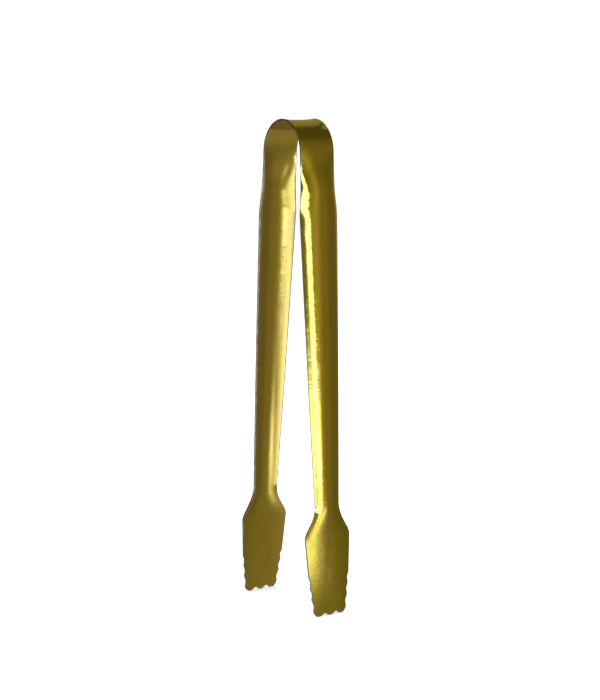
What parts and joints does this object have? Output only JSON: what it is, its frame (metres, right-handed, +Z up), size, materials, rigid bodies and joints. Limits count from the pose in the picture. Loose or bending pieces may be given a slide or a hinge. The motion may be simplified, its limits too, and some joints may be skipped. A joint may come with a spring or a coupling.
{
  "type": "ice tongs",
  "caption": "One-piece spring ice tongs: a gold metal strip bent over a round bow, with troughed arms that taper to necks and flat blades with scalloped tips.",
  "frame": {"origin": "on the ground, midway between the tips of the two blades, on which the tongs stand", "axes": "+Z up from the tips to the crown of the bow, +X the way the arms open, from the left arm to the right arm, +Y across the strip"},
  "size_m": [0.0436, 0.0202, 0.1784],
  "materials": {
    "gold_strip": "gold-coloured satin coat on spring-hard stainless steel, brighter along rubbed edges"
  },
  "bodies": {
    "bow": {"bow_crown": "gold_strip"},
    "right_arm": {"right_bow_side": "gold_strip", "right_arm": "gold_strip", "right_blade": "gold_strip"},
    "left_arm": {"left_bow_side": "gold_strip", "left_arm": "gold_strip", "left_blade": "gold_strip"}
  },
  "joints": [
    {"name": "right_arm_flex", "type": "hinge", "parent": "bow", "child": "right_arm", "pos_m": [0.007, 0, 0.1735], "axis": [0, 1, 0], "range_deg": [-2, 6.8], "stiffness_Nm_per_rad": 6.8},
    {"name": "left_arm_flex", "type": "hinge", "parent": "bow", "child": "left_arm", "pos_m": [-0.007, 0, 0.1735], "axis": [0, -1, 0], "range_deg": [-2, 6.8], "stiffness_Nm_per_rad": 6.8}
  ],
  "couplings": [
    {"joint": "left_arm_flex", "follows": "right_arm_flex", "ratio": 1}
  ]
}
